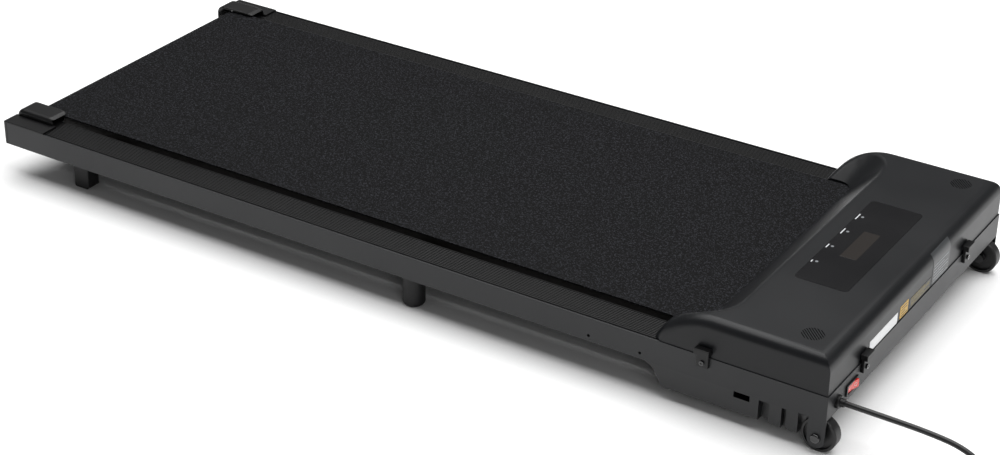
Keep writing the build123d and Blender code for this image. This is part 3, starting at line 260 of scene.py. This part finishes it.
def make_finishes():
    """Every finish of the treadmill, by the record's material slot or by its own name."""
    hues = bpy.context.scene.treadmill_colours
    return {
        # polyester powder coat on sheet steel: satin, with a faint orange peel
        "side_paint": textured("satin_powder_coated_steel", tuple(hues.steel_coat), 0.42,
                               1.6 * MM, 0.012 * MM, 0.12, {"Specular IOR Level": 0.38}),
        # the same coat on the inner steelwork, less even
        "frame_paint": textured("black_powder_coated_steel", tuple(hues.inner_coat), 0.5,
                                2.0 * MM, 0.02 * MM),
        # ABS from a spark-eroded mould: an even fine matt that spreads highlights wide
        "hood_plastic": textured("moulded_abs_hood", tuple(hues.hood_shell), 0.36, 0.9 * MM, 0.012 * MM, 0.08,
                                 {"Specular IOR Level": 0.26}),
        # polypropylene, duller than the hood
        "pan_plastic": textured("moulded_polypropylene_pan", tuple(hues.pan_shell), 0.5, 1.0 * MM, 0.02 * MM),
        # ABS from a polished mould, satin black
        "black_plastic": textured("moulded_black_abs", tuple(hues.trim), 0.38, 1.0 * MM, 0.01 * MM, 0.12,
                                  {"Specular IOR Level": 0.3}),
        # extruded PVC foot strip: fine scuffs over black
        "strip_plastic": textured("extruded_pvc_strip", tuple(hues.strip), 0.46, 1.4 * MM, 0.02 * MM, 0.2,
                                  {"Specular IOR Level": 0.32}),
        # polycarbonate film over the control board, smooth and level
        "panel_plastic": textured("smooth_polycarbonate_film", tuple(hues.panel), 0.24,
                                  1.2 * MM, 0.003 * MM, 0.04, {"Specular IOR Level": 0.28}),
        # smoked acrylic window of the display, clear gloss
        "window": textured("smoked_acrylic_window", tuple(hues.window), 0.08, 3.0 * MM, 0.0, 0.03),
        # small clear polycarbonate lamps, unlit
        "lens": textured("clear_polycarbonate_lens", linear("#8d9093"), 0.15, 0.5 * MM, 0.0, 0.05,
                         {"Transmission Weight": 0.3}),
        "belt_cover": sandy_belt("embossed_pvc_belt", tuple(hues.belt), tuple(hues.belt_speck_glint)),
        # medium density fibreboard with a waxed face, near black: partly its own dark face and partly painted
        # shade in the channel between the belt and the foot strips
        "deck_board": textured("black_fibreboard_painted_shade", linear("#15120f"), 0.55, 1.5 * MM, 0.03 * MM, 0.25),
        # vulcanised rubber: matt, with a slight bloom
        "foot_rubber": textured("vulcanised_rubber", tuple(hues.rubber), 0.62, 1.2 * MM, 0.03 * MM, 0.18),
        # moulded nylon wheel with a softer tread
        "wheel_tread": textured("moulded_nylon_wheel", tuple(hues.rubber), 0.42, 1.2 * MM, 0.015 * MM, 0.12),
        # PVC sheath of the mains cord: smooth satin
        "cord_sheath": textured("pvc_cord_sheath", tuple(hues.cord), 0.4, 1.5 * MM, 0.01 * MM, 0.1),
        # nickel-plated brass pins
        "pin_brass": drawn_metal("nickel_plated_brass", linear("#b9b4a6"), 0.25, (0.05, 1, 1)),
        # red polycarbonate rocker with its lamp off: solid red under a clear gloss
        "rocker_red": textured("translucent_red_polycarbonate", tuple(hues.rocker), 0.22, 2.0 * MM, 0.0, 0.06,
                               {"Coat Weight": 0.5}),
        # pad-printed ink on the rocker
        "rocker_mark": printed_ink("pale_printed_ink", linear("#d8c4bd"), 0.04),
        # printed polyester films
        "label_white": printed_film("white_polyester_film", tuple(hues.label), 0.03),
        "label_yellow": printed_film("yellow_polyester_film", tuple(hues.caution), 0.03),
        "label_silver": printed_film("silver_polyester_film", linear("#343638"), 0.05, 0.35),
        "label_dark": printed_film("dark_polyester_film", linear("#171611"), 0.05),
        # screen-printed inks of the films' bars
        "bar_dark": printed_ink("dark_screen_ink", linear("#1b1c1d")),
        "bar_ochre": printed_ink("ochre_screen_ink", linear("#8c7c3a")),
        "bar_grey": printed_ink("grey_screen_ink", linear("#9a9da0")),
        # pad-printed ink
        "ink": printed_ink("pad_printed_ink", tuple(hues.marks)),
        # zinc-plated steel, turned or drawn
        "bright_steel": drawn_metal("zinc_plated_steel", linear("#a8abad"), 0.3, (1, 0.04, 1)),
        # black zinc on screws and bolts: dark and glossy, with no bare metal
        "black_steel": textured("black_zinc_steel", linear("#101012"), 0.16, 0.8 * MM, 0.004 * MM, 0.1,
                                {"Coat Weight": 0.5}),
        # baked enamel on the motor can
        "motor_paint": textured("baked_black_enamel", linear("#18181a"), 0.3, 2.0 * MM, 0.01 * MM),
        # die-cast and turned aluminium
        "pulley_metal": drawn_metal("turned_aluminium", linear("#b4b6b8"), 0.35, (1, 0.04, 1)),
        # glass-epoxy board under green solder mask
        "board_green": textured("green_glass_epoxy_board", linear("#1c4a2c"), 0.35,
                                1.0 * MM, 0.01 * MM, 0.15),
    }


FINISHES = {}


def dress(piece, slot):
    """Gives a piece the finish of the record's material slot."""
    piece.data.materials.clear()
    piece.data.materials.append(FINISHES[slot])
    return piece


# ---------------------------------------------------------------- making pieces
# an edge that turns by more than this many degrees stays sharp
CREASE = 30.0
HOOD_CREASE = 24.0
MOULD_CREASE = 26.0
CLIP_CREASE = 28.0
BELT_CREASE = 40.0
FLAT_ANGLE = 0.6           # neighbours within this many degrees count as one flat face
SAME_PLACE = 2e-6          # points closer than this are one

# roundings of small edges
FINE_EDGE = 0.15 * MM
BEZEL_EDGE = 0.2 * MM
TURNED_EDGE = 0.3 * MM
ROCKER_EDGE = 0.35 * MM
PRINT_EDGE = 0.02 * MM


def keep(bm, name, crease=CREASE, smooth=True):
    """The finished mesh as an object at the origin, smooth but for its creases."""
    mesh = bpy.data.meshes.new(name)
    bm.to_mesh(mesh)
    bm.free()
    if "custom_normal" in mesh.attributes:
        mesh.attributes.remove(mesh.attributes["custom_normal"])
    if smooth:
        mesh.shade_smooth()
        mesh.set_sharp_from_angle(angle=math.radians(crease))
    piece = bpy.data.objects.new(name, mesh)
    bpy.context.scene.collection.objects.link(piece)
    return piece


def merged(node):
    """A node's shape as one merged mesh without its loose triangles' doubles."""
    bm = bmesh.new()
    bm.from_mesh(frame["nodes"][node].data)
    bmesh.ops.remove_doubles(bm, verts=bm.verts, dist=SAME_PLACE)
    return bm


def refined(node, name, slot, edge=0.0, crease=CREASE):
    """A node's shape with its triangles merged, its sharp edges eased and its curves smooth."""
    bm = merged(node)
    bmesh.ops.dissolve_limit(bm, angle_limit=math.radians(FLAT_ANGLE), verts=bm.verts, edges=bm.edges)
    if edge:
        sharp = [e for e in bm.edges if e.is_manifold and e.calc_face_angle() > math.radians(crease)]
        bmesh.ops.bevel(bm, geom=sharp, offset=edge, offset_type="OFFSET", affect="EDGES", segments=2,
                        profile=0.5, material=-1, clamp_overlap=True)
    bmesh.ops.triangulate(bm, faces=[f for f in bm.faces if len(f.verts) > 4])
    piece = keep(bm, name, crease)
    weigh = piece.modifiers.new("level_flats", "WEIGHTED_NORMAL")
    weigh.keep_sharp = True
    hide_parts(node)
    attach(piece, frame["nodes"][node]["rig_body"])
    return dress(piece, slot)


def turned(name, profile, centre, steps=48):
    """A solid of revolution about the X axis through centre, from (x, radius) pairs, closed at both ends."""
    bm = bmesh.new()
    points = [bm.verts.new((x, 0, r)) for x, r in profile]
    edges = [bm.edges.new(pair) for pair in zip(points, points[1:])]
    bmesh.ops.spin(bm, geom=points + edges, cent=(0, 0, 0), axis=(1, 0, 0), angle=2 * math.pi, steps=steps,
                   use_merge=True)
    bmesh.ops.remove_doubles(bm, verts=bm.verts, dist=1e-6)
    bmesh.ops.holes_fill(bm, edges=[e for e in bm.edges if e.is_boundary])
    bmesh.ops.recalc_face_normals(bm, faces=bm.faces)
    bmesh.ops.translate(bm, verts=bm.verts, vec=centre)
    return keep(bm, name)


def tablet(bm, centre, size, ease):
    """Adds a small block with eased edges to a mesh."""
    made = bmesh.ops.create_cube(bm, size=1.0)["verts"]
    bmesh.ops.scale(bm, vec=size, verts=made)
    edges = {e for v in made for e in v.link_edges}
    bevelled = bmesh.ops.bevel(bm, geom=list(edges), offset=ease, offset_type="OFFSET", affect="EDGES",
                               segments=2, profile=0.5, material=-1)
    bmesh.ops.translate(bm, vec=centre, verts=bevelled["verts"])


def paint_nodes(slots):
    """Gives the frame's own nodes their finishes."""
    for entry in frame["record"]["subparts"]:
        node = frame["nodes"][entry["node"]]
        if entry["material_slot"] in slots:
            for place in node.material_slots:
                place.material = FINISHES[entry["material_slot"]]


# ---------------------------------------------------------------- operators
class TREADMILL_OT_finishes(bpy.types.Operator):
    """Makes the finishes and gives them to the frame's own nodes"""

    bl_idname = "treadmill.finishes"
    bl_label = "Finishes"

    def execute(self, context):
        FINISHES.update(make_finishes())
        slots = {entry["material_slot"] for entry in frame["record"]["subparts"]}
        missing = slots - set(FINISHES)
        if missing:
            raise RuntimeError(f"no finish for {sorted(missing)}")
        paint_nodes(slots)
        return {"FINISHED"}


class TREADMILL_OT_steelwork(bpy.types.Operator):
    """Makes the coated side rails and front plate with eased sheet edges"""

    bl_idname = "treadmill.steelwork"
    bl_label = "Steelwork"

    def execute(self, context):
        edge = context.scene.treadmill_sizes.sheet_edge
        for node in ("near_side_rail", "far_side_rail", "front_plate"):
            refined(node, node + "_coated", "side_paint", edge)
        return {"FINISHED"}


class TREADMILL_OT_hood(bpy.types.Operator):
    """Makes the hood, belly pan and clips with smooth moulded surfaces"""

    bl_idname = "treadmill.hood"
    bl_label = "Hood and pan"

    def execute(self, context):
        refined("hood", "hood_shell", "hood_plastic", crease=HOOD_CREASE)
        pan = refined("belly_pan", "belly_pan_shell", "hood_plastic", crease=HOOD_CREASE)
        # the pan has the hood's slot, but a duller plastic
        pan.data.materials[0] = FINISHES["pan_plastic"]
        refined("hood_clips", "hood_clip_set", "black_plastic", crease=CLIP_CREASE)
        refined("clip_screws", "clip_screw_set", "black_steel", FINE_EDGE, CLIP_CREASE)
        return {"FINISHED"}


class TREADMILL_OT_panel(bpy.types.Operator):
    """Makes the control panel, its window and the printed marks beside its lamps"""

    bl_idname = "treadmill.panel"
    bl_label = "Control panel"

    def execute(self, context):
        refined("control_panel", "control_panel_film", "panel_plastic", FINE_EDGE)
        refined("display_window", "display_window_pane", "window", FINE_EDGE)
        panel_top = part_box("control_panel")[1].z
        lamp_low, lamp_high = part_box("indicator_lenses")
        lamp_x = (lamp_low.x + lamp_high.x) / 2
        # a plain bar in place of the caption beside each lamp
        lamp_width = 3.9 * MM
        bar_lengths = (5.0, 9.5, 14.0, 15.0)
        bar_height, bar_thickness, lift = 1.5 * MM, 0.08 * MM, 0.02 * MM
        below, aside = 5.5 * MM, 1.5 * MM
        step = (lamp_high.y - lamp_low.y - lamp_width) / (len(bar_lengths) - 1)
        bm = bmesh.new()
        for place, length in enumerate(bar_lengths):
            lamp_y = lamp_low.y + lamp_width / 2 + place * step
            tablet(bm, (lamp_x - below, lamp_y - aside, panel_top + lift),
                   (bar_height, length * MM, bar_thickness), PRINT_EDGE)
        marks = dress(keep(bm, "panel_marks"), "ink")
        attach(marks, "frame")
        return {"FINISHED"}


class TREADMILL_OT_belt(bpy.types.Operator):
    """Makes the running belt and the ribbed foot strips beside it"""

    bl_idname = "treadmill.belt"
    bl_label = "Belt and foot strips"

    def execute(self, context):
        refined("running_belt", "running_belt_loop", "belt_cover", TURNED_EDGE, BELT_CREASE)
        for node in ("near_foot_strip", "far_foot_strip"):
            refined(node, node + "_ribbed", "strip_plastic")
        return {"FINISHED"}


class TREADMILL_OT_ends(bpy.types.Operator):
    """Makes the rear end caps, feet, wheels and their bolts"""

    bl_idname = "treadmill.ends"
    bl_label = "Caps, feet and wheels"

    def execute(self, context):
        moulded = (
            ("near_end_cap", "black_plastic"), ("far_end_cap", "black_plastic"),
            ("middle_feet", "foot_rubber"), ("rear_feet", "foot_rubber"),
            ("near_wheel", "wheel_tread"), ("far_wheel", "wheel_tread"),
        )
        for node, slot in moulded:
            refined(node, node + "_moulded", slot, crease=MOULD_CREASE)
        refined("wheel_bolts", "wheel_bolt_set", "black_steel", crease=MOULD_CREASE)
        refined("rear_roller_tube", "rear_roller_shell", "bright_steel", TURNED_EDGE)
        refined("front_roller_tube", "front_roller_shell", "bright_steel", TURNED_EDGE)
        return {"FINISHED"}


class TREADMILL_OT_switch(bpy.types.Operator):
    """Makes the power switch with its marked rocker"""

    bl_idname = "treadmill.switch"
    bl_label = "Power switch"

    def execute(self, context):
        refined("switch_housing", "switch_bezel", "black_plastic", BEZEL_EDGE)
        refined("switch_rocker", "switch_rocker_lit", "rocker_red", ROCKER_EDGE)
        # the usual line and ring, each on its own half of the rocker's face; it rests with one half in
        pivot = Matrix.Translation((593.5 * MM, -187.5 * MM, 59.5 * MM))
        rest = pivot @ Matrix.Rotation(math.radians(-9.0), 4, "Z")
        face_out, mark_aside = 4.95 * MM, 6.0 * MM
        face_slope = 0.12
        line_size, line_edge = (0.12 * MM, 0.7 * MM, 4.2 * MM), 0.03 * MM
        ring_radii, ring_lift = (2.2 * MM, 1.6 * MM), 0.06 * MM
        upright = Matrix.Rotation(math.radians(90), 3, "Y")
        bm = bmesh.new()
        for half in (-1, 1):
            made = set(bm.verts)
            if half < 0:
                tablet(bm, (0, 0, 0), line_size, line_edge)
            else:
                ring = []
                for radius in ring_radii:
                    ring += bmesh.ops.create_circle(bm, cap_ends=False, radius=radius, segments=32)["verts"]
                edges = list(dict.fromkeys(e for v in ring for e in v.link_edges))
                bmesh.ops.bridge_loops(bm, edges=edges)
                bmesh.ops.rotate(bm, verts=ring, matrix=upright)
                bmesh.ops.translate(bm, verts=ring, vec=(ring_lift, 0, 0))
            fresh = [v for v in bm.verts if v not in made]
            slope = Matrix.Rotation(half * -face_slope, 4, "Z")
            face = Matrix.Translation((face_out, half * mark_aside, 0)) @ slope
            bmesh.ops.transform(bm, verts=fresh, matrix=rest @ face)
        marks = dress(keep(bm, "switch_marks"), "rocker_mark")
        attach(marks, frame["nodes"]["switch_rocker"]["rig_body"])
        return {"FINISHED"}


class TREADMILL_OT_labels(bpy.types.Operator):
    """Makes the blank films on the hood's front face, each with its own tone"""

    bl_idname = "treadmill.labels"
    bl_label = "Blank labels"

    def execute(self, context):
        piece = keep(merged("blank_labels"), "blank_label_films", 20.0)
        for slot in ("label_white", "label_yellow", "label_dark", "label_silver"):
            piece.data.materials.append(FINISHES[slot])
        middles = sorted({round(p.center.y, 4) for p in piece.data.polygons})
        low, high = middles[0], middles[-1]
        # how far across one film ends and the next starts
        limits = [low + (high - low) * share for share in (0.365, 0.48, 0.76)]
        for polygon in piece.data.polygons:
            polygon.material_index = sum(polygon.center.y > limit for limit in limits)
        # plain bars in place of print, by film: rows from the bottom, bar length and height, and the ink
        bm = bmesh.new()
        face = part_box("blank_labels")[1].x
        lift, thickness = 0.03 * MM, 0.1 * MM
        short_row = 0.72
        rows = (
            # middle across, lowest row, step, rows, length, height, ink
            (-47.5, 81.5, 3.6, 4, 17.0, 1.2, 0),
            (-1.0, 81.2, 2.5, 5, 54.0, 0.7, 1),
            (59.5, 81.0, 4.2, 6, 42.0, 0.9, 2),
        )
        owners = []
        for middle, lowest, step, count, length, height, ink in rows:
            for row in range(count):
                share = short_row if row % 3 == 1 else 1.0
                across = middle - (1 - share) * length / 2
                tablet(bm, (face + lift, across * MM, (lowest + row * step) * MM),
                       (thickness, share * length * MM, height * MM), PRINT_EDGE)
                owners += [ink] * (len(bm.faces) - len(owners))
        bars = keep(bm, "label_bars")
        for slot in ("bar_dark", "bar_ochre", "bar_grey"):
            bars.data.materials.append(FINISHES[slot])
        for polygon, ink in zip(bars.data.polygons, owners):
            polygon.material_index = ink
        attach(bars, "frame")
        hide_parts("blank_labels")
        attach(piece, "frame")
        return {"FINISHED"}


class TREADMILL_OT_cord(bpy.types.Operator):
    """Makes the mains cord with its gland, its coil and its plug"""

    bl_idname = "treadmill.cord"
    bl_label = "Mains cord"

    def execute(self, context):
        sizes = context.scene.treadmill_sizes
        route = [Vector(p) * MM for p in (
            (605.8, -223.0, 58.4), (655.0, -223.0, 58.2), (705.0, -223.4, 57.4), (742.0, -223.3, 53.0),
            (768.0, -223.0, 38.0), (788.0, -222.8, 18.0), (811.0, -223.0, 5.6))]
        middle = Vector((830.0, -271.1, 0.0)) * MM
        start_angle = math.radians(90)
        layer_height, layer_rise = 3.35 * MM, 7.0 * MM
        climb_turns = 0.7                  # the cord climbs to the upper layer over this much of a turn
        turns = 2 * sizes.coil_turns
        total = round(turns * sizes.points_a_turn)
        for step in range(total + 1):
            share = step / total
            fold = 1 - abs(2 * share - 1)
            radius = sizes.coil_outer + (sizes.coil_inner - sizes.coil_outer) * fold
            angle = start_angle - share * turns * 2 * math.pi
            lift = min(1.0, max(0.0, (share - 0.5) * turns / climb_turns))
            height = layer_height + layer_rise * lift * lift * (3 - 2 * lift)
            route.append(middle + Vector((radius * math.cos(angle), radius * math.sin(angle), height)))
        route += [Vector(p) * MM for p in (
            (806.0, -319.2, 11.25), (782.0, -319.2, 17.5), (757.5, -319.2, 18.6))]
        curve = bpy.data.curves.new("mains_cord", "CURVE")
        curve.dimensions = "3D"
        curve.bevel_depth = sizes.cord_radius
        curve.bevel_resolution = 5
        curve.resolution_u = 6
        curve.use_fill_caps = True
        spline = curve.splines.new("NURBS")
        spline.points.add(len(route) - 1)
        for point, place in zip(spline.points, route):
            point.co = (*place, 1)
        spline.order_u = 3
        spline.use_endpoint_u = True
        cord = bpy.data.objects.new("mains_cord", curve)
        context.scene.collection.objects.link(cord)
        dress(cord, "cord_sheath")
        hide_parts("power_cord", "cord_coil")
        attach(cord, "frame")

        gland = refined("cable_gland", "cable_gland_moulded", "black_plastic", crease=MOULD_CREASE)

        # the plug's ringed strain relief, then its round body, from the cord's end towards the pins
        plug_place = (757.7 * MM, -319.2 * MM, 18.6 * MM)
        rings, ring_step, ring_growth = 5, 3.2, 0.5
        profile = [(0.0, 3.6), (0.0, 4.9)]
        for ring in range(rings):
            start, radius = -1.5 - ring * ring_step, 5.0 + ring_growth * ring
            profile += [(start, radius), (start - 1.8, radius + 0.3), (start - 2.0, radius - 0.9),
                        (start - 3.0, radius - 0.8)]
        profile += [(-18.0, 9.0), (-19.5, 12.2), (-22.0, 13.6), (-26.0, 14.0), (-40.0, 14.2), (-44.0, 15.0),
                    (-46.5, 17.0), (-48.0, 18.2), (-50.0, 18.5), (-54.0, 18.5), (-54.7, 18.2), (-55.0, 17.4),
                    (-55.0, 0.0)]
        plug = turned("plug_body_moulded", [(x * MM, r * MM) for x, r in profile], plug_place)
        dress(plug, "cord_sheath")
        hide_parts("plug_body")
        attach(plug, "frame")
        pins = refined("plug_pins", "plug_pin_pair", "pin_brass", crease=MOULD_CREASE)
        return {"FINISHED"}


class TREADMILL_OT_stage(bpy.types.Operator):
    """Makes the floor, the soft studio light and the camera"""

    bl_idname = "treadmill.stage"
    bl_label = "Floor, light and camera"

    def execute(self, context):
        scene = context.scene
        stage = scene.treadmill_stage
        bm = bmesh.new()
        bmesh.ops.create_grid(bm, x_segments=1, y_segments=1, size=30.0)
        floor = keep(bm, "studio_floor", smooth=False)
        # matt painted board, evenly pale
        board = textured("matt_white_board", tuple(stage.floor), 0.9, 4.0 * MM, 0.0, 0.01)
        floor.data.materials.append(board)

        world = bpy.data.worlds.new("studio_room")
        world.use_nodes = True
        world.node_tree.nodes["Background"].inputs["Color"].default_value = (1, 1, 1, 1)
        world.node_tree.nodes["Background"].inputs["Strength"].default_value = stage.sky
        scene.world = world
        lights = (
            # name, place, aim, width, depth, power
            ("soft_box_over", (0.2, 1.1, 4.0), (0.2, 1.1, 0.0), 7.0, 5.6, 440.0),
            ("soft_box_near", (1.6, -1.6, 1.0), (0.55, -0.1, 0.06), 1.0, 0.7, 4.0),
        )
        for name, place, aim, width, depth, power in lights:
            lamp = bpy.data.lights.new(name, "AREA")
            lamp.shape = "RECTANGLE"
            lamp.size, lamp.size_y, lamp.energy = width, depth, power
            holder = bpy.data.objects.new(name, lamp)
            holder.location = place
            holder.rotation_euler = (Vector(aim) - Vector(place)).to_track_quat("-Z", "Y").to_euler()
            scene.collection.objects.link(holder)

        view = bpy.data.cameras.new("studio_camera")
        view.lens = stage.lens
        view.sensor_width = 36.0
        view.clip_end = 100.0
        camera = bpy.data.objects.new("studio_camera", view)
        forward = Vector((-math.sin(stage.yaw) * math.cos(stage.pitch),
                          math.cos(stage.yaw) * math.cos(stage.pitch), -math.sin(stage.pitch)))
        level = forward.cross(Vector((0, 0, 1))).normalized()
        upright = level.cross(forward)
        across = level * math.cos(stage.roll) + upright * math.sin(stage.roll)
        up = upright * math.cos(stage.roll) - level * math.sin(stage.roll)
        turn = Matrix((across, up, -forward)).transposed().to_4x4()
        camera.matrix_world = Matrix.Translation(stage.place) @ turn
        scene.collection.objects.link(camera)
        scene.camera = camera
        scene.view_settings.view_transform = "Standard"
        return {"FINISHED"}


OPERATORS = (TREADMILL_OT_finishes, TREADMILL_OT_cord, TREADMILL_OT_steelwork, TREADMILL_OT_hood,
             TREADMILL_OT_panel, TREADMILL_OT_belt, TREADMILL_OT_ends, TREADMILL_OT_switch,
             TREADMILL_OT_labels, TREADMILL_OT_stage)


class TREADMILL_PT_sidebar(bpy.types.Panel):
    """Lists the treadmill's pieces in the sidebar"""

    bl_label = "Walking Treadmill"
    bl_idname = "TREADMILL_PT_sidebar"
    bl_space_type = "VIEW_3D"
    bl_region_type = "UI"
    bl_category = "Treadmill"

    def draw(self, context):
        for operator in OPERATORS:
            self.layout.operator(operator.bl_idname)
        scene = context.scene
        for group in (scene.treadmill_colours, scene.treadmill_sizes, scene.treadmill_stage):
            for name in group.__annotations__:
                self.layout.prop(group, name)


GROUPS = (TreadmillColours, TreadmillSizes, TreadmillStage)


def register():
    """Registers the classes and their settings."""
    for item in GROUPS + OPERATORS + (TREADMILL_PT_sidebar,):
        bpy.utils.register_class(item)
    bpy.types.Scene.treadmill_colours = PointerProperty(type=TreadmillColours)
    bpy.types.Scene.treadmill_sizes = PointerProperty(type=TreadmillSizes)
    bpy.types.Scene.treadmill_stage = PointerProperty(type=TreadmillStage)


def unregister():
    """Takes the classes and their settings away."""
    for name in ("treadmill_colours", "treadmill_sizes", "treadmill_stage"):
        delattr(bpy.types.Scene, name)
    for item in reversed(GROUPS + OPERATORS + (TREADMILL_PT_sidebar,)):
        bpy.utils.unregister_class(item)


def main():
    """Makes every piece."""
    register()
    for operator in OPERATORS:
        group, name = operator.bl_idname.split(".")
        getattr(getattr(bpy.ops, group), name)()


if __name__ == "__main__":
    main()
